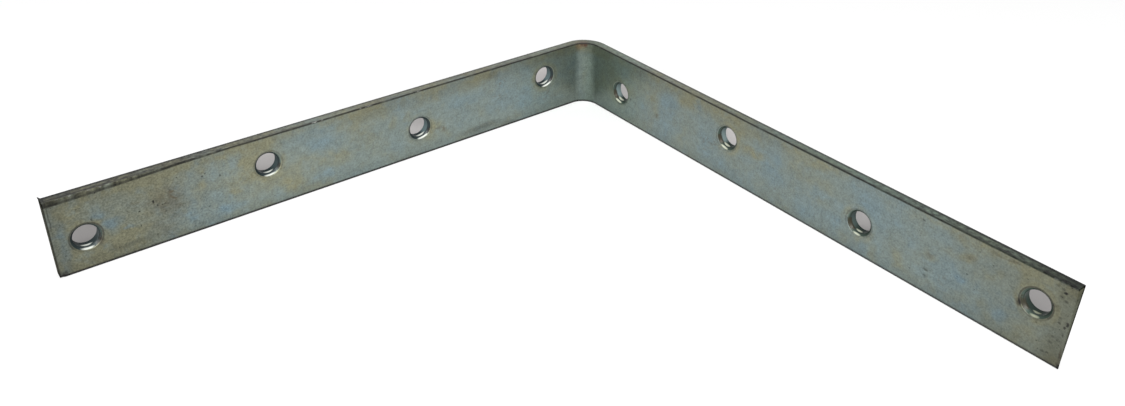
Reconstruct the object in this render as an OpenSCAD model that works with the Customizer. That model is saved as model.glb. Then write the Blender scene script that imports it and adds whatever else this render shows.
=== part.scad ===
// Corner brace: one flat steel bar with rounded arrises, bent once to a right angle.
// It stands on its long edges. One leg runs along +X, the other along +Y, and the
// inside of the angle, with the countersinks, faces +X and +Y.

/* [Strip] */
// Length of each leg, from the outside of the other leg to its sheared end
leg_length = 250; // [160:1:500]
// Width of the bar, which is the height of the standing bracket
strip_width = 32; // [24:0.5:60]
// Thickness of the bar
strip_thick = 4.5; // [3:0.1:8]
// Radius of the rolled arrises along the bar's four long edges
arris_r = 0.6; // [0.2:0.1:1.4]

/* [Bend] */
// Radius of the bend on the inside of the angle
bend_inner_r = 8; // [2:0.5:14]

/* [Screw holes] */
// Number of screw holes in each leg
holes_per_leg = 4; // [2:1:6]
// Distance from the outside of the other leg to the first hole
heel_margin = 30.5; // [22:0.5:60]
// Distance from the last hole to the sheared end of the leg
end_margin = 11; // [9:0.5:40]
// Diameter of the straight hole through the bar
hole_d = 9; // [4:0.1:10.5]
// Diameter of the countersink's rim on the inner face
countersink_d = 11.4; // [9.4:0.1:15]
// Included angle of the countersink's cone
countersink_angle = 90; // [80:1:100]
// Distance across the bar between the upper and lower rows of holes
row_gap = 6; // [0:0.5:10]
// Height of the line midway between the two rows above the bar's centre line
row_shift = 0.5; // [-2:0.1:2]

/* [Hidden] */
// Each round surface is drawn with this many sides
$fn = 96;
bend_outer_r = bend_inner_r + strip_thick;
hole_pitch = (leg_length - heel_margin - end_margin) / (holes_per_leg - 1);
row_height = strip_width / 2 + row_shift;
countersink_depth = (countersink_d - hole_d) / 2 / tan(countersink_angle / 2);
// How far a cutter stands proud of the face that it cuts
cut_over = 1;
steel = [0.50, 0.53, 0.50];

// Section of the rolled bar: thickness along x, width along y, four true round arrises
module bar_section() {
    translate([arris_r, 0])
        square([strip_thick - 2 * arris_r, strip_width]);
    translate([0, arris_r])
        square([strip_thick, strip_width - 2 * arris_r]);
    for (x = [arris_r, strip_thick - arris_r])
        for (y = [arris_r, strip_width - arris_r])
            translate([x, y])
                circle(r = arris_r);
}

// Straight stretch of the leg along +X, from the bend to the sheared end
module straight_leg() {
    translate([bend_outer_r, 0, 0])
        rotate([90, 0, 90])
            linear_extrude(leg_length - bend_outer_r)
                bar_section();
}

// Quarter turn that joins the legs, with the bar's thickness kept through the bend
module bend() {
    translate([bend_outer_r, bend_outer_r, 0])
        rotate([0, 0, 180])
            rotate_extrude(angle = 90)
                translate([bend_inner_r, 0])
                    bar_section();
}

// Cutter for one screw hole: a straight bore from the outer face, along +Y,
// that opens into a countersink at the inner face
module screw_hole() {
    rim_over_d = countersink_d + 2 * cut_over * tan(countersink_angle / 2);
    rotate([-90, 0, 0])
        translate([0, 0, -cut_over])
            cylinder(h = strip_thick + 2 * cut_over, d = hole_d);
    rotate([-90, 0, 0])
        translate([0, 0, strip_thick - countersink_depth])
            cylinder(h = countersink_depth + cut_over, d1 = hole_d, d2 = rim_over_d);
}

// Row of holes along the leg on +X; side is 1 where the first hole is in the upper
// row and -1 where it is in the lower one, and the rows alternate from there
module hole_row(side) {
    for (i = [0 : holes_per_leg - 1])
        translate([
            heel_margin + i * hole_pitch,
            0,
            row_height + side * (i % 2 == 0 ? 1 : -1) * row_gap / 2
        ])
            screw_hole();
}

// Takes what is drawn for the leg on +X over to the leg on +Y
module other_leg() {
    mirror([1, -1, 0])
        children();
}

// The whole bracket. The holes alternate along the flat bar before it is bent,
// so the legs start in opposite rows.
module corner_brace() {
    color(steel)
        translate([-leg_length / 2, -leg_length / 2, 0])
            difference() {
                union() {
                    straight_leg();
                    bend();
                    other_leg()
                        straight_leg();
                }
                hole_row(1);
                other_leg()
                    hole_row(-1);
            }
}

corner_brace();
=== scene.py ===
import math

import bpy
from mathutils import Matrix, Vector


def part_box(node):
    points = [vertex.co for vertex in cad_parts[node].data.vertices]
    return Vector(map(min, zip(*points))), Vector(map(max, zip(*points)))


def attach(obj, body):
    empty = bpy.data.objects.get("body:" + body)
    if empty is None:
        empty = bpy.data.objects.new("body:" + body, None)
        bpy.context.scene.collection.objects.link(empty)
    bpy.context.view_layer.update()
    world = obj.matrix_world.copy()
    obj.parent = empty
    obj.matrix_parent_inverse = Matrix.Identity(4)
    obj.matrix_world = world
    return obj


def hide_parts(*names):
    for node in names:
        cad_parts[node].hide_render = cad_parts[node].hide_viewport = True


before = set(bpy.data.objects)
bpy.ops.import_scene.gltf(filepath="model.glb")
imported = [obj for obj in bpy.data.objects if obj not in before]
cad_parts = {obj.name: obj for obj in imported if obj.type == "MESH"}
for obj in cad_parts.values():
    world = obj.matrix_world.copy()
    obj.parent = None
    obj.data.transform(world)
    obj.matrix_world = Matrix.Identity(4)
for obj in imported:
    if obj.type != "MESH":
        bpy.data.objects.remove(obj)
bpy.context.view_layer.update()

MM = 0.001

# Camera
# A wide lens close to the part looks down into the angle from the open side, so that both inner
# faces, both sheared ends and the upper edges of the bar show. The picture is cropped from a
# larger one, so the optical centre lies off its middle.
PICTURE_WIDTH = 1125
PICTURE_HEIGHT = 406
SENSOR_WIDTH = 36.0
FOCAL_LENGTH_PX = 954.0
OPTICAL_CENTRE_PX = (576.7, 81.9)
CAMERA_PLACE = Vector((157.8, 212.6, 218.4)) * MM
CAMERA_AZIMUTH = math.radians(50.736)
CAMERA_ELEVATION = math.radians(25.735)
CAMERA_ROLL = math.radians(1.336)
NEAR_CLIP = 10 * MM

forward = -Vector((
    math.cos(CAMERA_AZIMUTH) * math.cos(CAMERA_ELEVATION),
    math.sin(CAMERA_AZIMUTH) * math.cos(CAMERA_ELEVATION),
    math.sin(CAMERA_ELEVATION),
))
level_right = forward.cross(Vector((0, 0, 1))).normalized()
level_up = level_right.cross(forward)
camera_right = math.cos(CAMERA_ROLL) * level_right + math.sin(CAMERA_ROLL) * level_up
camera_up = camera_right.cross(forward)
camera_turn = Matrix((camera_right, camera_up, -forward)).transposed()

lens = bpy.data.cameras.new("camera")
lens.sensor_fit = "HORIZONTAL"
lens.sensor_width = SENSOR_WIDTH
lens.lens = FOCAL_LENGTH_PX * SENSOR_WIDTH / PICTURE_WIDTH
lens.shift_x = (PICTURE_WIDTH / 2 - OPTICAL_CENTRE_PX[0]) / PICTURE_WIDTH
lens.shift_y = (OPTICAL_CENTRE_PX[1] - PICTURE_HEIGHT / 2) / PICTURE_WIDTH
lens.clip_start = NEAR_CLIP
camera = bpy.data.objects.new("camera", lens)
camera.matrix_world = Matrix.Translation(CAMERA_PLACE) @ camera_turn.to_4x4()
bpy.context.collection.objects.link(camera)
bpy.context.scene.camera = camera

# Corner brace
# One length of rolled mild steel bar with soft arrises, sheared off at both ends, punched with two
# staggered rows of screw holes, countersunk on one face, bent once to a right angle and zinc plated.
heel, far_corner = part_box("corner_brace")
LEG_LENGTH = far_corner.x - heel.x
STRIP_WIDTH = far_corner.z - heel.z
STRIP_THICK = 4.5 * MM
ARRIS_R = 0.35 * MM
BEND_INNER_R = 8 * MM
HOLE_COUNT = 8
HEEL_MARGIN = 30.5 * MM
END_MARGIN = 11 * MM
HOLE_D = 9 * MM
COUNTERSINK_D = 11.4 * MM
ROW_GAP = 6 * MM
ROW_SHIFT = 0.5 * MM

# Traces of the shear, the punch and the countersink
SHEAR_ROUND = 0.18 * MM
OUT_OF_SQUARE = 0.85 * MM
UNDERCUT = 0.6 * MM
SHEARED_TAIL = 4.5 * MM
BURR = 1.1 * MM
BURR_FOOT_SHARE = 0.5
BURR_RING_SHARE = 0.6
BURR_LEAN = 0.4
RIM_ROUND = 0.45 * MM
BACK_ROUND = 0.1 * MM
LAST_SHALLOWER = 0.1 * MM
LAST_INWARD = 0.3 * MM
CUT_OVER = 0.6 * MM
NICK_FLATNESS = 0.6

# Sizes that follow from those, along the middle line of the flat bar
EIGHTH_TURN = math.pi / 4
BEND_OUTER_R = BEND_INNER_R + STRIP_THICK
HALF_ARC = (BEND_INNER_R + STRIP_THICK / 2) * EIGHTH_TURN
HEEL_TO_FLAT = HALF_ARC - BEND_OUTER_R


class Wire:
    """A node's output, which can be reckoned with like a number."""

    def __init__(self, tree, socket):
        self.tree = tree
        self.socket = socket

    def math(self, operation, *others):
        node = self.tree.nodes.new("ShaderNodeMath")
        node.operation = operation
        for slot, value in zip(node.inputs, (self, *others)):
            feed(self.tree, slot, value)
        return Wire(self.tree, node.outputs[0])

    def __add__(self, other):
        return self.math("ADD", other)

    def __sub__(self, other):
        return self.math("SUBTRACT", other)

    def __rsub__(self, other):
        return self * -1.0 + other

    def __mul__(self, other):
        return self.math("MULTIPLY", other)

    def __truediv__(self, other):
        return self.math("DIVIDE", other)

    def __pow__(self, power):
        return self.math("POWER", power)

    def __abs__(self):
        return self.math("ABSOLUTE")

    def at_least(self, least):
        return self.math("MAXIMUM", least)

    def at_most(self, most):
        return self.math("MINIMUM", most)

    def hypot(self, other):
        """Straight distance to a spot that is this far off one way and that far off across it."""
        return (self ** 2.0 + other ** 2.0).math("SQRT")

    __radd__ = __add__


def feed(tree, slot, value):
    """Links a wire to a node's input, or sets the input to a plain value."""
    if isinstance(value, Wire):
        tree.links.new(value.socket, slot)
    else:
        slot.default_value = value


def add(tree, kind, inputs=(), out=0, **settings):
    """Adds a node, sets or links its inputs by name or number, and returns one output as a wire."""
    node = tree.nodes.new(kind)
    for name, value in settings.items():
        setattr(node, name, value)
    for slot, value in dict(inputs).items():
        feed(tree, node.inputs[slot], value)
    return Wire(tree, node.outputs[out])


def vector(tree, x=0.0, y=0.0, z=0.0):
    """One vector from three plain values or wires."""
    return add(tree, "ShaderNodeCombineXYZ", {0: x, 1: y, 2: z})


def parts_of(tree, wire):
    """The X, Y and Z of a vector, as three wires."""
    node = tree.nodes.new("ShaderNodeSeparateXYZ")
    feed(tree, node.inputs[0], wire)
    return [Wire(tree, node.outputs[i]) for i in range(3)]


brace_tree = bpy.data.node_groups.new("corner brace", "GeometryNodeTree")
brace_inputs = {
    "Leg length": LEG_LENGTH,
    "Strip width": STRIP_WIDTH,
    "Strip thickness": STRIP_THICK,
    "Arris radius": ARRIS_R,
    "Bend inner radius": BEND_INNER_R,
    "Heel to first hole": HEEL_MARGIN,
    "Last hole to end": END_MARGIN,
    "Hole diameter": HOLE_D,
    "Countersink diameter": COUNTERSINK_D,
    "Row gap": ROW_GAP,
    "Row shift": ROW_SHIFT,
    "Shear rounding": SHEAR_ROUND,
    "Rim rounding": RIM_ROUND,
    "Back rounding": BACK_ROUND,
    "Out of square": OUT_OF_SQUARE,
    "Undercut": UNDERCUT,
    "Last holes shallower": LAST_SHALLOWER,
    "Last holes inward": LAST_INWARD,
    "Burr": BURR,
}
brace_tree.interface.new_socket(name="Nick places", in_out="INPUT", socket_type="NodeSocketGeometry")
brace_sockets = {
    name: brace_tree.interface.new_socket(name=name, in_out="INPUT", socket_type="NodeSocketFloat")
    for name in brace_inputs
}
for name in ("Zinc", "Punched zinc"):
    brace_sockets[name] = brace_tree.interface.new_socket(
        name=name, in_out="INPUT", socket_type="NodeSocketMaterial")
brace_tree.interface.new_socket(name="Brace", in_out="OUTPUT", socket_type="NodeSocketGeometry")
given = brace_tree.nodes.new("NodeGroupInput")
size = {name: Wire(brace_tree, given.outputs[name]) for name in brace_sockets}
nick_places = Wire(brace_tree, given.outputs["Nick places"])

leg = size["Leg length"]
width = size["Strip width"]
thick = size["Strip thickness"]
outer_r = size["Bend inner radius"] + thick
mid_r = size["Bend inner radius"] + thick * 0.5
half_arc = mid_r * EIGHTH_TURN
half_length = leg - outer_r + half_arc
hole_r = size["Hole diameter"] * 0.5

# The flat bar: rings along X, close together where the bend and the sheared ends will be.
# On it, along is 0 at the middle of the bend, deep is 0 on the outer face, high is 0 at the bottom.
BEND_RINGS = 49
END_RINGS = 7
ARRIS_STEPS = 6


def ring_line(count, first, last):
    """Row of points along X, evenly spaced from the first place to the last."""
    return add(brace_tree, "GeometryNodeMeshLine",
               {"Count": count, "Start Location": vector(brace_tree, first),
                "Offset": vector(brace_tree, last)}, mode="END_POINTS")


here = add(brace_tree, "GeometryNodeInputPosition")
along, deep, high = parts_of(brace_tree, here)
index = add(brace_tree, "GeometryNodeInputIndex")
ring_rows = [ring_line(BEND_RINGS, half_arc * -1.0, half_arc)]
for side in (-1.0, 1.0):
    tail = (half_length - SHEARED_TAIL) * side
    ring_rows.append(ring_line(2, tail, (half_length - size["Burr"] * BURR_RING_SHARE) * side))
    turn = index * (math.pi / 2 / (END_RINGS - 1))
    reach = half_length - size["Shear rounding"] * (1.0 - turn.math("SINE"))
    ring_rows.append(add(brace_tree, "GeometryNodeSetPosition",
                         {"Geometry": ring_line(END_RINGS, 0.0, 1.0),
                          "Position": vector(brace_tree, reach * side)}))
rings = brace_tree.nodes.new("GeometryNodeJoinGeometry")
for row in reversed(ring_rows):
    feed(brace_tree, rings.inputs[0], row)
ring_points = add(brace_tree, "GeometryNodeMeshToPoints", {"Mesh": Wire(brace_tree, rings.outputs[0])})
bar_path = add(brace_tree, "GeometryNodePointsToCurves", {"Points": ring_points, "Weight": along})
section = add(brace_tree, "GeometryNodeFilletCurve",
              {"Curve": add(brace_tree, "GeometryNodeCurvePrimitiveQuadrilateral",
                            {"Width": thick, "Height": width}),
               "Count": ARRIS_STEPS, "Radius": size["Arris radius"]}, mode="POLY")
swept = add(brace_tree, "GeometryNodeCurveToMesh",
            {"Curve": bar_path, "Profile Curve": section, "Fill Caps": True})
past_round = (abs(along) - half_length + size["Shear rounding"]).at_least(0.0)
kept_round = (size["Shear rounding"] ** 2.0 - past_round ** 2.0).at_least(0.0)
inset = size["Shear rounding"] - kept_round.math("SQRT")
flat_bar = add(brace_tree, "GeometryNodeSetPosition",
               {"Geometry": swept,
                "Position": vector(brace_tree, along,
                                   deep * (1.0 - inset * 2.0 / thick) + thick * 0.5,
                                   high * (1.0 - inset * 2.0 / width) + width * 0.5)})

# The punch and countersink tool: a turned form whose radius follows its depth in the bar
PUNCH_RINGS = 64
PUNCH_SIDES = 96
punch_line = add(brace_tree, "GeometryNodeMeshLine",
                 {"Count": PUNCH_RINGS, "Start Location": (0, -CUT_OVER, 0),
                  "Offset": vector(brace_tree, 0.0, thick + CUT_OVER)}, mode="END_POINTS")
cone_start = thick - (size["Countersink diameter"] - size["Hole diameter"]) * 0.5
cone = hole_r + (deep - cone_start).at_least(0.0)


def flare(depth_left, rounding):
    """Widening of the tool where its cut meets a face, which leaves a small rounded rim."""
    left = (rounding - depth_left).at_least(0.0).at_most(rounding)
    chord = rounding ** 2.0 - left ** 2.0
    return rounding - chord.at_least(0.0).math("SQRT")


punch_r = cone + flare(thick - deep, size["Rim rounding"]) + flare(deep, size["Back rounding"])
punch_path = add(brace_tree, "GeometryNodeSetCurveRadius",
                 {"Curve": add(brace_tree, "GeometryNodeMeshToCurve", {"Mesh": punch_line}),
                  "Radius": punch_r})
punch = add(brace_tree, "GeometryNodeCurveToMesh",
            {"Curve": punch_path, "Fill Caps": True, "Scale": punch_r,
             "Profile Curve": add(brace_tree, "GeometryNodeCurvePrimitiveCircle",
                                  {"Resolution": PUNCH_SIDES, "Radius": 1.0})})

# Holes alternate between the rows all the way along, and their spacing restarts at the heel
holes_per_leg = HOLE_COUNT // 2
first_hole = size["Heel to first hole"] - outer_r + half_arc
pitch = (leg - size["Heel to first hole"] - size["Last hole to end"]) / (holes_per_leg - 1)
from_middle = index - (HOLE_COUNT - 1) / 2
hole_number = abs(from_middle).math("FLOOR")
hole_side = from_middle.math("SIGN")
row_side = (index.math("MODULO", 2.0) - 0.5) * -1.0
row_middle = width * 0.5 + size["Row shift"]
is_last = hole_number.math("GREATER_THAN", holes_per_leg - 1.5)
hole_along = first_hole + hole_number * pitch - is_last * size["Last holes inward"]
hole_places = add(brace_tree, "GeometryNodeSetPosition",
                  {"Geometry": ring_line(HOLE_COUNT, 0.0, 1.0),
                   "Position": vector(brace_tree, hole_along * hole_side,
                                      is_last * size["Last holes shallower"],
                                      row_middle + row_side * size["Row gap"])})
punches = add(brace_tree, "GeometryNodeRealizeInstances",
              {0: add(brace_tree, "GeometryNodeInstanceOnPoints",
                      {"Points": hole_places, "Instance": punch})})

# Knocks on the arrises: small flattened balls cut into the edge at the places handed in
nick_ball = add(brace_tree, "GeometryNodeMeshIcoSphere", {"Radius": 1.0, "Subdivisions": 3})
nick_size = add(brace_tree, "GeometryNodeInputNamedAttribute", {"Name": "size"}, data_type="FLOAT")
nick_height = nick_size * NICK_FLATNESS
nicks = add(brace_tree, "GeometryNodeRealizeInstances",
            {0: add(brace_tree, "GeometryNodeInstanceOnPoints",
                    {"Points": nick_places, "Instance": nick_ball,
                     "Scale": vector(brace_tree, nick_size, nick_height, nick_height)})})

cut = brace_tree.nodes.new("GeometryNodeMeshBoolean")
cut.operation = "DIFFERENCE"
cut.solver = "MANIFOLD"
for slot_name, solid in (("Mesh 1", flat_bar), ("Mesh 2", punches), ("Mesh 2", nicks)):
    zinced = add(brace_tree, "GeometryNodeSetMaterial", {"Geometry": solid, "Material": size["Zinc"]})
    feed(brace_tree, cut.inputs[slot_name], zinced)
cut_bar = Wire(brace_tree, cut.outputs["Mesh"])

# The place of each point in the flat bar, in millimetres, which the finish is laid out on
in_mm = add(brace_tree, "ShaderNodeVectorMath", {0: here, "Scale": 1 / MM}, operation="SCALE")
marked_bar = add(brace_tree, "GeometryNodeStoreNamedAttribute",
                 {"Geometry": cut_bar, "Name": "flat", "Value": in_mm},
                 data_type="FLOAT_VECTOR", domain="POINT")

# The walls of the holes are faces that lean away from the two broad faces, within a rim
WALL_LEAN = 0.8
face_normal = add(brace_tree, "GeometryNodeInputNormal")
normal_deep = parts_of(brace_tree, face_normal)[1]
flat_hole_number = ((abs(along) - first_hole) / pitch).math("ROUND")
from_hole_along = abs(along) - first_hole - flat_hole_number * pitch
from_hole_high = abs(high - row_middle) - size["Row gap"] * 0.5
from_hole = from_hole_along.hypot(from_hole_high)
wall_reach = size["Countersink diameter"] * 0.5 + size["Rim rounding"] + size["Last holes inward"]
is_wall = from_hole.math("LESS_THAN", wall_reach) * abs(normal_deep).math("LESS_THAN", WALL_LEAN)
walled_bar = add(brace_tree, "GeometryNodeStoreNamedAttribute",
                 {"Geometry": marked_bar, "Name": "wall", "Value": is_wall},
                 data_type="BOOLEAN", domain="FACE")

# The bend: the flat bar is wrapped round the outer radius. The shear left the end of the Y leg out
# of square and undercut, and a burr on the upper outer corner of the end of the X leg.
tail_share = ((along * -1.0 - half_length + SHEARED_TAIL) / SHEARED_TAIL).at_least(0.0)
tail_shift = deep / thick * (size["Out of square"] + size["Undercut"]) - size["Undercut"]
sheared = along - tail_share * (1.0 - high / width) * tail_shift
bend_angle = (sheared / mid_r).at_least(-EIGHTH_TURN).at_most(EIGHTH_TURN) + EIGHTH_TURN
leg_x = (sheared - half_arc).at_least(0.0)
leg_y = (sheared * -1.0 - half_arc).at_least(0.0)
bend_r = outer_r - deep
burr_foot = size["Burr"] * BURR_FOOT_SHARE
to_burr = (half_length - along).at_least(deep).at_least(width - high)
burr = ((burr_foot - to_burr) / burr_foot).at_least(0.0) * size["Burr"]
bent_x = outer_r - bend_r * bend_angle.math("COSINE") + leg_x + burr * BURR_LEAN
bent_y = outer_r - bend_r * bend_angle.math("SINE") + leg_y
bent_bar = add(brace_tree, "GeometryNodeSetPosition",
               {"Geometry": walled_bar, "Position": vector(brace_tree, bent_x, bent_y, high + burr)})
placed_bar = add(brace_tree, "GeometryNodeTransform", {"Geometry": bent_bar, "Translation": heel})
smooth_bar = add(brace_tree, "GeometryNodeSetShadeSmooth", {0: placed_bar})
whole_bar = add(brace_tree, "GeometryNodeRealizeInstances", {0: smooth_bar})
wall_faces = add(brace_tree, "GeometryNodeInputNamedAttribute", {"Name": "wall"}, data_type="BOOLEAN")
finished = add(brace_tree, "GeometryNodeSetMaterial",
               {"Geometry": whole_bar, "Selection": wall_faces, "Material": size["Punched zinc"]})
result = brace_tree.nodes.new("NodeGroupOutput")
feed(brace_tree, result.inputs["Brace"], finished)


def flat_place(leg_name, from_heel, height):
    """Spot on the inner face of the flat bar, in millimetres, that far along one leg and up."""
    side = 1 if leg_name == "x" else -1
    return Vector((side * (from_heel + HEEL_TO_FLAT / MM), STRIP_THICK / MM, height))


# The zinc is a thin, slightly passivated plate: grey with soft blue and straw clouds, fine grain,
# brown stains, dark pits, a dull line along each arris and a straw halo round the hole rims.
def paint(red, green, blue):
    """Linear colour of a swatch given as eight-bit display values."""
    return tuple(((v / 255 + 0.055) / 1.055) ** 2.4 for v in (red, green, blue)) + (1.0,)


ZINC_GREY = paint(126, 138, 133)
ZINC_BLUE = paint(117, 138, 145)
ZINC_STRAW = paint(134, 134, 110)
# Bare zinc, also used for painted glints on the upper inner arris
BARE_ZINC_AND_GLINT = paint(196, 198, 192)
ZINC_GREEN = paint(92, 112, 96)
ZINC_TEAL = paint(112, 137, 123)
STAIN_BROWN = paint(99, 94, 78)
RUST_TAN = paint(143, 126, 96)
RUST_RED = paint(108, 75, 61)
# Dirt, also the colour of the painted shade along the bottom, round the rims and on the sheared ends
DIRT_AND_SHADE = paint(38, 37, 34)

# Marks on the inner faces, in millimetres: leg, distance from the heel, height, reach along,
# reach up, and then the strength from 0 to 1
BLUE_CLOUDS = [
    ("x", 41, 26, 6, 4, 0.4), ("x", 75, 21, 12, 5, 0.4), ("x", 109, 25, 7, 4, 0.6),
    ("x", 112, 8, 5, 6, 0.5), ("x", 144, 21, 10, 6, 0.8), ("x", 147, 6.5, 9, 3.5, 0.9),
    ("x", 183, 26, 3.2, 4.5, 0.8), ("x", 186, 6, 8, 3, 0.9), ("x", 201, 9.5, 2.6, 5.5, 0.7),
    ("x", 223.7, 12.2, 2, 1.2, 0.9), ("x", 229.5, 16, 4, 3, 1.0), ("x", 235, 21, 3.5, 2, 0.7),
    ("x", 246.3, 12, 2, 11, 0.8),
    ("y", 34, 25, 5, 4, 0.5), ("y", 38, 8, 7, 6, 0.7), ("y", 44, 17, 5, 5, 0.4),
    ("y", 63, 23, 7, 4, 0.6), ("y", 97, 5.5, 9, 5, 0.9), ("y", 113, 14.5, 5, 3, 0.6),
    ("y", 126, 14, 9, 5, 0.8), ("y", 147, 16, 14, 4, 0.7), ("y", 150, 8, 14, 6, 0.9),
    ("y", 180, 22, 12, 5, 0.5), ("y", 195, 7, 5, 3, 0.6), ("y", 203, 26, 10, 3, 0.5),
    ("y", 212.5, 13.5, 3, 2, 0.8), ("y", 228, 7.5, 3, 2.6, 0.9),
]
STRAW_CLOUDS = [
    ("x", 23, 8, 4, 4, 0.4), ("x", 42, 4.5, 8, 3, 0.5), ("x", 67, 12, 3, 3, 0.3),
    ("x", 92, 13, 4, 3, 0.4), ("x", 106, 21.5, 3, 2.6, 0.9), ("x", 113.6, 20, 2, 4.5, 0.7),
    ("x", 150, 15, 14, 5, 0.6), ("x", 161, 7.5, 5, 4.5, 0.7), ("x", 178, 22, 4, 5, 0.8),
    ("x", 182, 16, 6, 5, 0.7), ("x", 183, 12.5, 4, 1.8, 0.8), ("x", 192.5, 8, 2, 4, 0.6),
    ("x", 196, 28, 4, 3, 0.8), ("x", 197, 17, 4, 5, 0.6), ("x", 208, 22, 9, 6, 0.5),
    ("x", 226, 9, 10, 3, 0.6), ("x", 243, 26, 5, 5, 0.6),
    ("y", 54, 19.5, 2.2, 3, 0.6), ("y", 56, 14, 2.8, 5, 0.8), ("y", 72, 5, 3, 5, 0.4),
    ("y", 77, 27, 5, 3.5, 0.6), ("y", 106.8, 23.5, 2.2, 3.5, 0.7), ("y", 118, 19.8, 8, 2.2, 0.9),
    ("y", 124.5, 18.6, 3, 2, 0.7), ("y", 143, 29, 12, 2.5, 0.6), ("y", 166, 4.5, 6, 4, 0.7),
    ("y", 176.5, 3.5, 3, 4.5, 0.6), ("y", 191, 14.5, 4, 2, 0.4), ("y", 199.5, 16, 4, 2.6, 0.7),
    ("y", 211, 4.5, 9, 3.5, 0.8), ("y", 213, 23, 3.5, 3, 0.6), ("y", 238, 26, 8, 4, 0.4),
]
BROWN_STAINS = [
    ("x", 88.3, 9.9, 1.8, 1.6, 0.8), ("x", 90.5, 11.2, 2.6, 0.9, 0.5), ("x", 206, 11, 3, 4, 0.3),
    ("x", 209.5, 17, 8, 8, 0.65), ("x", 213, 8, 7, 5, 0.3), ("x", 234.2, 9.2, 1.4, 1.6, 0.7),
    ("x", 237.5, 31.4, 3, 0.7, 0.8),
    ("y", 57, 12.3, 1.3, 1.8, 0.6), ("y", 199.6, 16.4, 1.8, 1.4, 0.5), ("y", 209.5, 30, 2, 0.9, 0.4),
    ("y", 214, 23.3, 2, 1.5, 0.5), ("y", 222, 30.4, 2.5, 0.8, 0.5), ("y", 229, 30.2, 2.5, 0.9, 0.6),
    ("y", 233.2, 17, 1.3, 2.0, 0.7), ("y", 249.4, 4.6, 0.7, 4.0, 0.9),
]
DARK_SMUDGES = [
    ("x", 36, 23.2, 1.1, 0.6, 0.3), ("x", 52, 1.6, 5, 1.4, 0.25), ("x", 60.8, 28.7, 4, 2.2, 0.25),
    ("x", 67, 3.5, 12, 2.6, 0.3), ("x", 224, 4.6, 9, 1.7, 0.25), ("x", 247.6, 2.6, 0.9, 0.7, 0.7),
    ("x", 248.6, 1.2, 1.6, 1.8, 0.9), ("x", 249.2, 0.9, 1.1, 1.2, 1.0),
    ("y", 37.5, 13, 0.7, 0.6, 0.5), ("y", 193.3, 29, 0.8, 0.5, 0.6), ("y", 199, 9.8, 1.3, 0.8, 0.5),
    ("y", 199.2, 6.4, 1.3, 0.5, 0.5), ("y", 233.1, 17, 1.0, 1.8, 0.5), ("y", 249.8, 1.4, 0.9, 1.4, 0.9),
]
PITS = [
    ("x", 188.8, 21.4, 0.45, 0.45, 0.8), ("x", 194.2, 24.3, 0.4, 0.4, 0.6),
    ("x", 195.4, 23.4, 0.45, 0.45, 0.8), ("x", 197.7, 8.4, 0.3, 0.3, 0.6),
    ("x", 204.6, 26.3, 0.35, 0.35, 0.8), ("x", 210.2, 17, 0.4, 0.35, 0.6),
    ("x", 211.3, 16.8, 0.35, 0.35, 0.7), ("x", 213, 17.2, 0.35, 0.35, 0.7),
    ("x", 214.2, 19.1, 0.5, 0.9, 1.0), ("x", 219.6, 17, 0.4, 0.4, 0.9),
    ("y", 243.5, 30, 1.0, 0.5, 0.4), ("y", 244.2, 22.4, 0.8, 0.6, 0.3), ("y", 244.5, 3.6, 0.9, 0.6, 0.5),
    ("y", 245.4, 29.6, 0.9, 0.45, 0.5), ("y", 245.6, 26.6, 1.0, 0.7, 0.4), ("y", 246, 4, 0.7, 0.45, 0.5),
    ("y", 246, 8.5, 0.8, 0.6, 0.4), ("y", 246.5, 11, 0.6, 0.5, 0.45), ("y", 246.5, 28.5, 0.7, 0.6, 1.0),
    ("y", 247.0, 19, 0.8, 0.7, 0.45), ("y", 247.1, 17, 0.5, 0.5, 0.5), ("y", 247.2, 25.6, 0.9, 0.6, 0.55),
    ("y", 248.8, 13.2, 0.35, 0.6, 0.6), ("y", 248.8, 16.2, 0.4, 0.5, 0.8),
    ("y", 249.3, 17.8, 0.45, 1.0, 0.9),
]
TAN_SPOTS = [("x", 6.4, 31.2, 3.0, 2.2, 0.7), ("x", 9.0, 30.8, 3.0, 2.2, 0.9)]
RUST_SPOTS = [("x", 5.0, 31.2, 1.6, 1.4, 0.9), ("x", 7.2, 31.4, 1.5, 1.3, 0.7)]
# Spots on the upper inner arris where the zinc is rubbed bare, painted bright enough to stand in for
# glints too
BRIGHT_RUBS_AND_GLINTS = [
    ("x", 100, 32, 1.6, 0.3, 0.45), ("x", 124, 32, 1.8, 0.3, 0.6), ("x", 127.5, 32, 0.8, 0.3, 0.4),
    ("x", 144.8, 32, 0.7, 0.3, 0.4), ("x", 148.3, 32, 1.4, 0.3, 0.6), ("x", 230.6, 32, 0.5, 0.4, 1.0),
    ("x", 234.6, 32, 0.6, 0.4, 1.0), ("x", 240.9, 32, 0.7, 0.35, 0.7), ("x", 245.1, 32, 0.6, 0.3, 0.6),
    ("y", 242.2, 32, 1.4, 0.3, 0.4), ("y", 244.8, 32, 0.7, 0.3, 0.6), ("y", 248.6, 32, 1.2, 0.35, 0.7),
]

patch_maker = bpy.data.node_groups.new("soft patch", "ShaderNodeTree")
for name, kind in (("Place", "NodeSocketVector"), ("Centre", "NodeSocketVector"),
                   ("Per reach", "NodeSocketVector"), ("Strength", "NodeSocketFloat")):
    patch_maker.interface.new_socket(name=name, in_out="INPUT", socket_type=kind)
patch_maker.interface.new_socket(name="Amount", in_out="OUTPUT", socket_type="NodeSocketFloat")


def ease(wire, start, end, low=0.0, high=1.0):
    """Eases from low to high while the wire goes from start to end, and stays there beyond."""
    return add(wire.tree, "ShaderNodeMapRange",
               {"Value": wire, "From Min": start, "From Max": end, "To Min": low, "To Max": high},
               interpolation_type="SMOOTHSTEP")


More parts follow.
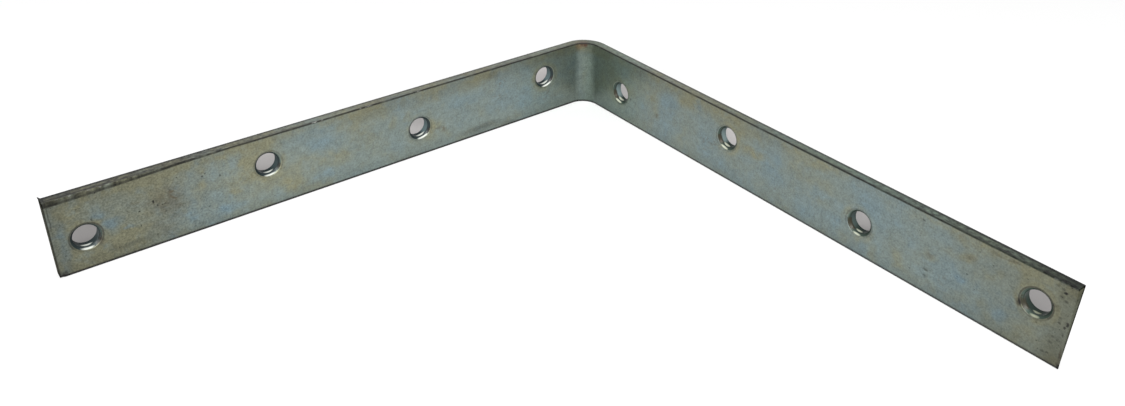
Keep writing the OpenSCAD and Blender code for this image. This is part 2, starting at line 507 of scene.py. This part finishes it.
patch_in = patch_maker.nodes.new("NodeGroupInput")
patch_given = {name: Wire(patch_maker, patch_in.outputs[name])
               for name in ("Place", "Centre", "Per reach", "Strength")}
from_centre = add(patch_maker, "ShaderNodeVectorMath",
                  {0: patch_given["Place"], 1: patch_given["Centre"]}, operation="SUBTRACT")
in_reaches = add(patch_maker, "ShaderNodeVectorMath",
                 {0: from_centre, 1: patch_given["Per reach"]}, operation="MULTIPLY")
reaches_off = add(patch_maker, "ShaderNodeVectorMath", {0: in_reaches}, out="Value", operation="LENGTH")
patch_out = patch_maker.nodes.new("NodeGroupOutput")
feed(patch_maker, patch_out.inputs["Amount"], ease(reaches_off, 1.3, 0.3) * patch_given["Strength"])

zinc = bpy.data.materials.new("zinc plate")
zinc.use_nodes = True
plate = zinc.node_tree
flat = add(plate, "ShaderNodeAttribute", out="Vector", attribute_name="flat")


def noise(per_mm, detail=2.0, roughness=0.5, stretch=(1, 1, 1)):
    """Cloudy value about 0.5 on the flat bar, with so many waves to the millimetre."""
    laid = add(plate, "ShaderNodeVectorMath", {0: flat, 1: stretch}, operation="MULTIPLY")
    return add(plate, "ShaderNodeTexNoise",
               {"Vector": laid, "Scale": per_mm, "Detail": detail, "Roughness": roughness})


def tint(base, colour, amount):
    """Lays a colour over another by an amount from 0 to 1."""
    return add(amount.tree, "ShaderNodeMix", {0: amount, 6: base, 7: colour}, out=2, data_type="RGBA")


along, deep, high = parts_of(plate, flat)
THICK_MM = STRIP_THICK / MM
WIDTH_MM = STRIP_WIDTH / MM
END_MM = (LEG_LENGTH + HEEL_TO_FLAT) / MM
on_x_leg = ease(along, -4, 4)
on_y_leg = 1.0 - on_x_leg
from_heel = abs(along) - HEEL_TO_FLAT / MM
to_end = END_MM - abs(along)


def ragged_place(per_mm, detail, reach):
    """Place on the flat bar, moved about by noise so that no mark laid there has a smooth outline."""
    shift = add(plate, "ShaderNodeTexNoise",
                {"Vector": flat, "Scale": per_mm, "Detail": detail}, out="Color")
    shift = add(plate, "ShaderNodeVectorMath", {0: shift, 1: (0.5, 0.5, 0.5)}, operation="SUBTRACT")
    shift = add(plate, "ShaderNodeVectorMath", {0: shift, "Scale": reach}, operation="SCALE")
    return add(plate, "ShaderNodeVectorMath", {0: flat, 1: shift}, operation="ADD")


ragged = ragged_place(0.16, detail=3.0, reach=6.0)
fine_ragged = ragged_place(1.1, detail=2.0, reach=1.0)


def patches(marks, place, reach_deep=3.3):
    """Amount of the strongest of the marks at each place."""
    total = None
    for leg_name, heel_mm, height, reach_along, reach_up, strength in marks:
        patch = plate.nodes.new("ShaderNodeGroup")
        patch.node_tree = patch_maker
        feed(plate, patch.inputs["Place"], place)
        patch.inputs["Centre"].default_value = flat_place(leg_name, heel_mm, height)
        patch.inputs["Per reach"].default_value = (1 / reach_along, 1 / reach_deep, 1 / reach_up)
        patch.inputs["Strength"].default_value = strength
        amount = Wire(plate, patch.outputs["Amount"])
        total = amount if total is None else total.at_least(amount)
    return total


FIRST_HOLE_MM = (HEEL_MARGIN + HEEL_TO_FLAT) / MM
PITCH_MM = (LEG_LENGTH - HEEL_MARGIN - END_MARGIN) / (HOLE_COUNT / 2 - 1) / MM


def nearest_hole(place_along, place_high):
    """Number of the nearest hole of the leg, and how far past its middle a place is, out and up."""
    number = ((abs(place_along) - FIRST_HOLE_MM) / PITCH_MM).math("ROUND").at_least(0.0)
    past_along = abs(place_along) - FIRST_HOLE_MM - number * PITCH_MM
    row = place_along.math("SIGN") * (1.0 - number.math("MODULO", 2.0) * 2.0)
    past_high = place_high - (STRIP_WIDTH / 2 + ROW_SHIFT) / MM - row * (ROW_GAP / MM / 2)
    return number, past_along, past_high


hole_of_leg, off_along, off_high = nearest_hole(along, high)
last_hole = hole_of_leg.math("GREATER_THAN", HOLE_COUNT / 2 - 1.5)
off_along = off_along + last_hole * (LAST_INWARD / MM)
off_hole = off_along.hypot(off_high)
past_rim = off_hole - (COUNTERSINK_D / 2 + RIM_ROUND) / MM + last_hole * (LAST_SHALLOWER / MM)

# Blue clouds, fainter at the end of the Y leg
cloud = noise(0.045, detail=4.0, roughness=0.55)
small_cloud = noise(0.13, detail=3.0, roughness=0.6)
blue = (ease(cloud, 0.50, 0.66) * 0.45 + patches(BLUE_CLOUDS, ragged) * 0.55
        + ease(small_cloud, 0.52, 0.7) * 0.3)
blue = blue * (1.0 - on_y_leg * ease(from_heel, 222, 244) * 0.6)

# Straw clouds, more of them towards the sheared ends, along the top and near the heel of the Y leg,
# but fewer low down in the bend
straw = (ease(cloud, 0.5, 0.34) * 0.5 + patches(STRAW_CLOUDS, ragged) * 0.7
         + ease(small_cloud, 0.48, 0.3) * 0.3)
straw = straw + on_x_leg * ease(from_heel, 150, 215) * 0.5
straw = straw + on_y_leg * (ease(from_heel, 100, 40) * 0.22 + ease(from_heel, 205, 245) * 0.45)
straw = straw + ease(high, WIDTH_MM - 5, WIDTH_MM - 1.5) * ease(small_cloud, 0.4, 0.6) * 0.6
straw = straw * (1.0 - ease(high, 14, 5) * ease(from_heel, 34, 20) * 0.7)
# A halo round each rim, then three more stretches along the top and the very end of the Y leg
straw = straw + ease(past_rim, 2.6, 0.5) * ease(small_cloud, 0.35, 0.6) * 0.7
straw = straw + ease(high, WIDTH_MM - 7, WIDTH_MM - 3) * ease(from_heel, 34, 14) * 0.6
straw = straw + on_x_leg * ease(high, 25, 30) * ease(from_heel, 150, 175) * 0.5
straw = straw + ease(high, 21, 28) * ease(from_heel, 52, 75) * ease(from_heel, 145, 118) * 0.6
straw = straw + on_y_leg * ease(to_end, 8, 3) * 0.25

colour = tint(ZINC_GREY, ZINC_STRAW, straw)
colour = tint(colour, ZINC_BLUE, blue)
colour = tint(colour, ZINC_TEAL, (1.0 - on_x_leg * 0.6) * ease(from_heel, 56, 26) * 0.45)

# Stains, then tan and red rust in the top of the bend
brown = patches(BROWN_STAINS, ragged) * ease(noise(0.35, detail=4.0), 0.15, 0.6)
brown = brown + ease(noise(0.09), 0.62, 0.74) * ease(noise(0.8), 0.45, 0.7) * 0.5
colour = tint(colour, STAIN_BROWN, brown)
colour = tint(colour, RUST_TAN, patches(TAN_SPOTS, fine_ragged))
colour = tint(colour, RUST_RED, patches(RUST_SPOTS, fine_ragged))

# Dirt: smudges, pits and specks, and the specks are thick just short of the sheared ends
specks = ease(noise(0.75, detail=1.0), 0.735, 0.79) * ease(from_heel, 140, 220, 0.1, 0.6)
end_specks = ease(noise(1.1, detail=1.0), 0.66, 0.72) * ease(to_end, 7, 3) * ease(to_end, 0.8, 1.6) * 0.6
dirt_and_shade = patches(DARK_SMUDGES, ragged) + patches(PITS, fine_ragged) + specks.at_least(end_specks)

# Dark lines along the arrises and the sheared edges, broken here and there, with painted contact shade
# along the bottom and painted shade round the rims
breaks = noise(0.22, detail=3.0, stretch=(0.35, 1, 1))


def corner_line(first, second, width_mm):
    """Line along a corner that lies where both of the wires are zero."""
    return ease(first.hypot(second), width_mm * 1.5, width_mm * 0.6)


inner_gap = THICK_MM - deep
border = on_x_leg * ease(from_heel, 185, 246) * 1.7
top_gap = WIDTH_MM - border - high + breaks * 0.6 - 0.3
top_line = corner_line(inner_gap, top_gap, 0.5) * ease(from_heel, 190, 240, 0.9, 0.5)
top_line = top_line * ease(breaks, 0.3, 0.5, 0.55, 1.0)
# Painted contact shade along the bottom
bottom_contact_shade = corner_line(inner_gap, high, 0.9) * (on_x_leg * 0.2 + 0.8)
end_line = corner_line(inner_gap, to_end, 0.35) * (on_x_leg * 0.6 + 0.05)
shear_line = ease(abs(to_end - 1.1 + (breaks - 0.5) * 0.9), 0.35, 0.1) * ease(high, 16, 24) * on_x_leg
# Painted shade round the rims, weaker at the bottom of each hole and stronger in the last holes
rim_shade = ease(abs(past_rim + 0.25), 0.45, 0.2) * ease(off_high / off_hole, -0.8, -0.4, 0.25, 0.6)
rim_shade = rim_shade * (last_hole * 0.5 + 0.5)
arris_lines_and_shade = top_line.at_least(bottom_contact_shade).at_least(end_line)
dirt_and_shade = dirt_and_shade + arris_lines_and_shade.at_least(rim_shade).at_least(shear_line * 0.5)

# The sheared ends carry painted shade, darker towards their outer side, and are browner on the X leg
on_end = ease(to_end, 0.3, 0.08)
colour = tint(colour, STAIN_BROWN, on_end * on_x_leg * 0.4)
dirt_and_shade = dirt_and_shade + on_end * (ease(deep, 1.7, 0.8) * 0.7 + 0.2)

# The rolled edge on top is brown on the X leg and green on the Y leg, under the dirt and painted shade
on_top = ease(top_gap, 0.6, 0.1)
streak = noise(0.5, detail=3.0, stretch=(0.06, 1.6, 0.0))
colour = tint(colour, STAIN_BROWN, on_top * on_x_leg * ease(streak, 0.4, 0.65) * 0.45)
colour = tint(colour, ZINC_GREEN, on_top * on_y_leg * ease(from_heel, 60, 160) * 0.7)
# Dirt and painted shade darken the colour
colour = tint(colour, DIRT_AND_SHADE, dirt_and_shade.at_most(1.0))
colour = tint(colour, BARE_ZINC_AND_GLINT, patches(BRIGHT_RUBS_AND_GLINTS, fine_ragged, reach_deep=0.4))

# That edge is darker along its outer arris and in streaks along its inner one, and carries painted shade
# towards the ends
outer_strip = ease(deep, 1.9, 1.0) * ease(from_heel, 14, 45) * 0.45 + ease(deep, 0.9, 0.5) * 0.4
inner_strip = ease(deep, 2.7, 3.4) * ease(streak, 0.42, 0.6) * 0.3
x_top_end_shade = ease(from_heel, 130, 215) * 0.43 + ease(to_end, 16, 4) * 0.15
y_top_end_shade = ease(from_heel, 30, 80) * 0.15 + ease(from_heel, 150, 236) * 0.38
y_top_end_shade = y_top_end_shade + ease(to_end, 20, 6) * 0.22
top_end_shade = on_x_leg * x_top_end_shade + on_y_leg * y_top_end_shade
top_darkening_and_shade = 1.0 - on_top * (outer_strip + inner_strip + top_end_shade).at_most(0.9)

# Painted shade across the plate: darker towards the bend, towards the sheared ends, along the bottom
# and along the upper outer arris
bend_shade = ease(from_heel, 12, 56, 0.71, 1.0)
x_end_shade = ease(from_heel, 168, 240, 1.0, 0.7) * ease(high, 24, 30, 1.0, 0.9) * ease(to_end, 9, 2, 1.0, 0.8)
y_end_shade = ease(from_heel, 190, 240, 0.95, 0.76) * ease(to_end, 9, 2, 1.0, 0.82)
sheared_end_shade = on_x_leg * x_end_shade + on_y_leg * y_end_shade
bottom_shade = ease(high, 0.5, 8.0, 0.83, 1.0)
outer_arris_shade = ease(deep, 0.8, 0.4) * ease(high, WIDTH_MM - 1.6, WIDTH_MM - 0.7)

# Where the plate is darker still: painted shade high on the Y side of the bend, with painted light on its
# X side, painted shade on both flanks of the bend, which narrows its bright band, and low beside the bend
# on the Y leg; and darker along the top of both legs as far as their middles, and in the corners of the Y
# leg's end
bend_top_shade = ease(high, 21, 29) * ease(along, 3, -2) * ease(from_heel, 12, 5) * 0.32
bend_top_shade = bend_top_shade - ease(high, 21, 29) * ease(along, 3, 8) * ease(from_heel, 22, 12) * 0.12
bend_flank_shade = ease(along, -2.5, -5) * ease(along, -10, -7) * 0.1
bend_flank_shade = bend_flank_shade + ease(along, 3.5, 5) * ease(along, 9, 7) * 0.06
upper_darkening = ease(high, 23, 28) * ease(from_heel, 145, 118) * ease(from_heel, 30, 45)
low_bend_shade = ease(high, 14, 4) * ease(along, -6, -9) * ease(along, -24, -14) * 0.1
plate_shade_and_darkening = bend_top_shade + upper_darkening * (on_x_leg * 0.04 + 0.08) + bend_flank_shade + low_bend_shade
corner_darkening = on_y_leg * ease(to_end, 10, 2) * (ease(high, 20, 6) * 0.16 + ease(high, 25, 29) * 0.12)
broad_shade = bend_shade * sheared_end_shade * bottom_shade * top_darkening_and_shade * (1.0 - outer_arris_shade * 0.5)
broad_shade = broad_shade * (1.0 - plate_shade_and_darkening) * (1.0 - corner_darkening)

# Fine grain, faint drawing streaks, and dashes along the rolled edge on top
MEAN_LEVEL = 0.88
grain = noise(1.3, roughness=0.6)
drawn = noise(0.6, detail=3.0, stretch=(0.05, 1, 1))
mottle = noise(0.4)
dashes = noise(0.9, detail=3.0, stretch=(0.5, 0.8, 0))
grain_depth = on_x_leg * ease(from_heel, 150, 230) * 0.45 + 0.9
dash_depth = on_top * ease(from_heel, 140, 225, 1.4, 4.2)
fine_level = (grain - 0.5) * grain_depth + (drawn - 0.5) * 0.15 + (mottle - 0.5) * 0.42
fine_level = fine_level + (small_cloud - 0.5) * 0.15 + (dashes - 0.5) * dash_depth + MEAN_LEVEL
colour = add(plate, "ShaderNodeVectorMath",
             {0: colour, "Scale": fine_level * broad_shade}, operation="SCALE")

METAL_SHARE = 0.55
SHINE = 0.5
MEAN_ROUGHNESS = 0.36
LEAST_ROUGHNESS = 0.2
RELIEF_DEPTH = 0.02 * MM
RELIEF_STRENGTH = 0.5
skin = plate.nodes["Principled BSDF"]
feed(plate, skin.inputs["Base Color"], colour)
# Metal and shine fall away where painted shade lies on the ends of the top edge and on the sheared ends
unshaded = 1.0 - (on_top * top_end_shade + on_end).at_most(1.0)
feed(plate, skin.inputs["Metallic"], unshaded * METAL_SHARE)
feed(plate, skin.inputs["Specular IOR Level"], unshaded * SHINE)
roughness = (grain - 0.5) * 0.2 + dirt_and_shade * 0.25 + (small_cloud - 0.5) * 0.15 + MEAN_ROUGHNESS
feed(plate, skin.inputs["Roughness"], roughness.at_least(LEAST_ROUGHNESS))
relief = grain * 0.3 + noise(0.1, detail=1.0) * 2.0 - dirt_and_shade * 0.5
feed(plate, skin.inputs["Normal"],
     add(plate, "ShaderNodeBump",
         {"Strength": RELIEF_STRENGTH, "Distance": RELIEF_DEPTH, "Height": relief}))

# The walls of the holes carry painted shade: dark all round, and brown with dried oil in the cone on the
# side towards the heel. Each lower wall carries a painted highlight in two slivers, one in the bore and
# one in the cone.
BORE_GREEN = paint(46, 57, 52)
BORE_TEAL = paint(38, 48, 49)
CONE_GREEN = paint(58, 72, 64)
# Colour of the painted highlight on the outermost part of the cone
CONE_EDGE_HIGHLIGHT = paint(94, 106, 98)
LIT_BORE_X = paint(92, 108, 110)
LIT_BORE_Y = paint(118, 134, 134)
OIL_BROWN = paint(40, 33, 28)
OIL_OLIVE = paint(50, 46, 34)
# Colours of the painted highlights in the slivers
HIGHLIGHT_BRIGHT = paint(212, 216, 208)
HIGHLIGHT_WARM = paint(186, 190, 172)
HIGHLIGHT_DULL = paint(150, 154, 134)
CONE_START_MM = THICK_MM - (COUNTERSINK_D - HOLE_D) / MM / 2
PUNCH_SLIVER = (2.45, 0.7)
CONE_SLIVER = (THICK_MM - 0.45, 0.45)
WALL_METAL_SHARE = 0.1
WALL_SHINE = 0.2
WALL_ROUGHNESS = 0.35

punched = bpy.data.materials.new("punched zinc")
punched.use_nodes = True
wall = punched.node_tree
wall_skin = wall.nodes["Principled BSDF"]
wall_flat = add(wall, "ShaderNodeAttribute", out="Vector", attribute_name="flat")
wall_noise = add(wall, "ShaderNodeTexNoise", {"Vector": wall_flat, "Scale": 0.8, "Detail": 2.0}) - 0.5
wall_along, wall_deep, wall_high = parts_of(wall, wall_flat)
from_bend = abs(wall_along)
_, past_middle, above_middle = nearest_hole(wall_along, wall_high)
heelward = past_middle * -1.0
below = above_middle * -1.0
off_middle = below.hypot(heelward)
bottom_share = (below + heelward * ease(from_bend, 60, 225, 0.25, -0.02)) / off_middle
heel_share = heelward / off_middle
brown_share = (heelward * 0.86 + below * 0.51) / off_middle
near_heel = ease(from_bend, 110, 185, 1.0, 0.0)
last_wall = ease(from_bend, 195, 225)
on_x_wall = ease(wall_along, -4, 4)
on_cone = ease(wall_deep, CONE_START_MM + 0.1, CONE_START_MM + 0.6)


def sliver(middle_deep, half_width):
    """Painted highlight: a bright sliver on the lower wall, about a depth, that tapers towards its two
    tips.
    """
    across = (wall_deep - middle_deep) * (1 / half_width)
    towards_tip = (1.0 - bottom_share) / (on_x_wall * 0.08 + 0.08)
    return ease(1.0 - across ** 2.0 - towards_tip + wall_noise * 0.4, 0.0, 1.0)


# Near the heel the bore carries painted light on the side towards it. In every hole the outermost part of
# the cone carries a painted highlight on both sides.
wall_colour = tint(tint(BORE_GREEN, CONE_GREEN, on_cone), BORE_TEAL, on_x_wall)
lit_bore = ease(wall_deep, 3.3, 2.7) * ease(heel_share, 0.3, 0.8) * near_heel
wall_colour = tint(wall_colour, tint(LIT_BORE_Y, LIT_BORE_X, on_x_wall), lit_bore)
edge_deep = wall_deep + ease(heel_share, -0.5, 0.5) * (1.0 - near_heel) * 0.5
outer_cone_highlight = ease(edge_deep, THICK_MM - 0.4, THICK_MM - 0.1) * ease(abs(heel_share), 0.3, 0.7)
wall_colour = tint(wall_colour, CONE_EDGE_HIGHLIGHT, outer_cone_highlight * (1.0 - last_wall * 0.7))
browned = ease(brown_share + wall_noise * 0.3 - on_x_wall * 0.06, 0.82, 0.96)
browned = browned * ease(wall_deep - on_x_wall, CONE_START_MM - 1.2, CONE_START_MM - 0.2) * 0.9
wall_colour = tint(wall_colour, tint(OIL_OLIVE, OIL_BROWN, on_x_wall), browned)
# The slivers are painted highlights, brightest on the X leg, warmer on the Y leg and duller in its last
# holes
wall_highlight = tint(tint(HIGHLIGHT_WARM, HIGHLIGHT_DULL, last_wall), HIGHLIGHT_BRIGHT, on_x_wall)
wall_colour = tint(wall_colour, wall_highlight, sliver(*PUNCH_SLIVER).at_least(sliver(*CONE_SLIVER)))
feed(wall, wall_skin.inputs["Base Color"], wall_colour)
wall_polish = ease(wall_deep, 2.9, 3.3, 0.15, 1.0)
feed(wall, wall_skin.inputs["Metallic"], wall_polish * WALL_METAL_SHARE)
feed(wall, wall_skin.inputs["Specular IOR Level"], wall_polish * WALL_SHINE)
wall_skin.inputs["Roughness"].default_value = WALL_ROUGHNESS

# Nicks in the inner arrises, in millimetres: leg, distance from the heel, height, size
NICKS = [
    ("x", 236.0, 32.0, 0.5), ("x", 225.0, 32.0, 0.6), ("x", 229.0, 32.0, 0.5),
    ("y", 238.0, 32.0, 0.6), ("y", 247.0, 32.0, 0.6),
    ("x", 249.4, 0.3, 1.2),
]
nick_mesh = bpy.data.meshes.new("nick places")
nick_mesh.from_pydata([flat_place(*nick[:3]) * MM for nick in NICKS], [], [])
nick_sizes = nick_mesh.attributes.new("size", "FLOAT", "POINT")
for nick, mark in zip(NICKS, nick_sizes.data):
    mark.value = nick[3] * MM
nick_object = bpy.data.objects.new("nick places", nick_mesh)
bpy.context.collection.objects.link(nick_object)
maker = nick_object.modifiers.new("corner brace", "NODES")
maker.node_group = brace_tree
for name, value in brace_inputs.items():
    maker[brace_sockets[name].identifier] = value
maker[brace_sockets["Zinc"].identifier] = zinc
maker[brace_sockets["Punched zinc"].identifier] = punched
shading = nick_object.modifiers.new("flat faces", "WEIGHTED_NORMAL")
shading.keep_sharp = True
evaluated = nick_object.evaluated_get(bpy.context.evaluated_depsgraph_get())
brace = bpy.data.objects.new("zinc_brace", bpy.data.meshes.new_from_object(evaluated))
bpy.context.collection.objects.link(brace)
nick_object.modifiers.clear()
bpy.data.objects.remove(nick_object)

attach(brace, "root")
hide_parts("corner_brace")

# Floor
# A plain white table top under the part, wide enough to fill the view, which keeps the part's
# shadow. The grey shade behind the legs, which shows through the holes, is part of its colour.
FLOOR_REACH = 6.0
FLOOR_BOUNCE = 0.5
SHADE_TINT = (1.0, 0.965, 0.955)
# The shade, in millimetres from the heel: where it eases in behind the legs, how far back it
# reaches behind each, where it ends, how its ends slant, and how its level falls along the legs
SHADE_EASES_IN = (-2, -10)
SHADE_REACH_BEHIND_X = (-57, -44)
SHADE_REACH_BEHIND_Y = (-48, -36)
SHADE_ENDS = (249, 244)
SHADE_SLANT_X = 0.1
SHADE_SLANT_Y = 0.315
SHADE_FALLS = (95, 240)
SHADE_LEVELS = (0.76, 0.34)

floor_mesh = bpy.data.meshes.new("floor")
corners = [(-FLOOR_REACH, -FLOOR_REACH, heel.z), (FLOOR_REACH, -FLOOR_REACH, heel.z),
           (FLOOR_REACH, FLOOR_REACH, heel.z), (-FLOOR_REACH, FLOOR_REACH, heel.z)]
floor_mesh.from_pydata(corners, [], [(0, 1, 2, 3)])
floor = bpy.data.objects.new("floor", floor_mesh)
bpy.context.collection.objects.link(floor)
floor_paint = bpy.data.materials.new("floor white")
floor_paint.use_nodes = True
floor_tree = floor_paint.node_tree


def seen_ray(tree):
    """One for the rays that show the background: those of the camera, reflections and glass."""
    path = tree.nodes.new("ShaderNodeLightPath")
    seen = Wire(tree, path.outputs["Is Camera Ray"])
    for name in ("Is Glossy Ray", "Is Transmission Ray"):
        seen = seen.at_least(Wire(tree, path.outputs[name]))
    return seen


floor_seen = seen_ray(floor_tree)
floor_x, floor_y, _ = parts_of(floor_tree, add(floor_tree, "ShaderNodeTexCoord", out="Object"))
past_x = (floor_x - heel.x) * (1 / MM)
past_y = (floor_y - heel.y) * (1 / MM)
behind = ease(past_x.at_most(past_y), *SHADE_EASES_IN)
behind = behind * ease(past_y, *SHADE_REACH_BEHIND_X) * ease(past_x, *SHADE_REACH_BEHIND_Y)
behind = behind * ease(past_x - past_y * SHADE_SLANT_X, *SHADE_ENDS)
behind = behind * ease(past_y - past_x * SHADE_SLANT_Y, *SHADE_ENDS)
shade = ease(past_x.at_least(past_y), *SHADE_FALLS, *SHADE_LEVELS)
floor_colour = [
    floor_seen * (1.0 - FLOOR_BOUNCE - behind * (1.0 - shade * channel)) + FLOOR_BOUNCE
    for channel in SHADE_TINT
]
floor_skin = floor_tree.nodes["Principled BSDF"]
feed(floor_tree, floor_skin.inputs["Base Color"], vector(floor_tree, *floor_colour))
floor_skin.inputs["Roughness"].default_value = 1.0
floor_skin.inputs["Specular IOR Level"].default_value = 0.0
floor_mesh.materials.append(floor_paint)

# Lights
# A plain white surround, a long low softbox on the camera's side, a little steeper than its view,
# and a small lamp higher up on that side that lights the lower walls of the holes.
SURROUND_LIGHT = 0.35
world = bpy.data.worlds.new("surround")
bpy.context.scene.world = world
world.use_nodes = True
sky = world.node_tree
background = sky.nodes["Background"]
background.inputs["Color"].default_value = (1, 1, 1, 1)
feed(sky, background.inputs["Strength"], seen_ray(sky) * (1.0 - SURROUND_LIGHT) + SURROUND_LIGHT)


def soft_lamp(name, azimuth, elevation, away, across, tall, power):
    """Softbox at a bearing from the middle of the part, turned towards it."""
    towards = Vector((math.cos(azimuth) * math.cos(elevation),
                      math.sin(azimuth) * math.cos(elevation), math.sin(elevation)))
    lamp = bpy.data.lights.new(name, "AREA")
    lamp.shape = "RECTANGLE"
    lamp.size = across
    lamp.size_y = tall
    lamp.energy = power
    holder = bpy.data.objects.new(name, lamp)
    facing = towards.to_track_quat("Z", "Y").to_matrix().to_4x4()
    holder.matrix_world = Matrix.Translation(towards * away) @ facing
    bpy.context.collection.objects.link(holder)


soft_lamp("front lamp", CAMERA_AZIMUTH, elevation=math.radians(33),
          away=4.0, across=3.4, tall=0.6, power=186.0)
soft_lamp("top lamp", CAMERA_AZIMUTH, elevation=math.radians(70),
          away=3.0, across=1.0, tall=1.0, power=19.0)

bpy.context.scene.view_settings.view_transform = "Standard"
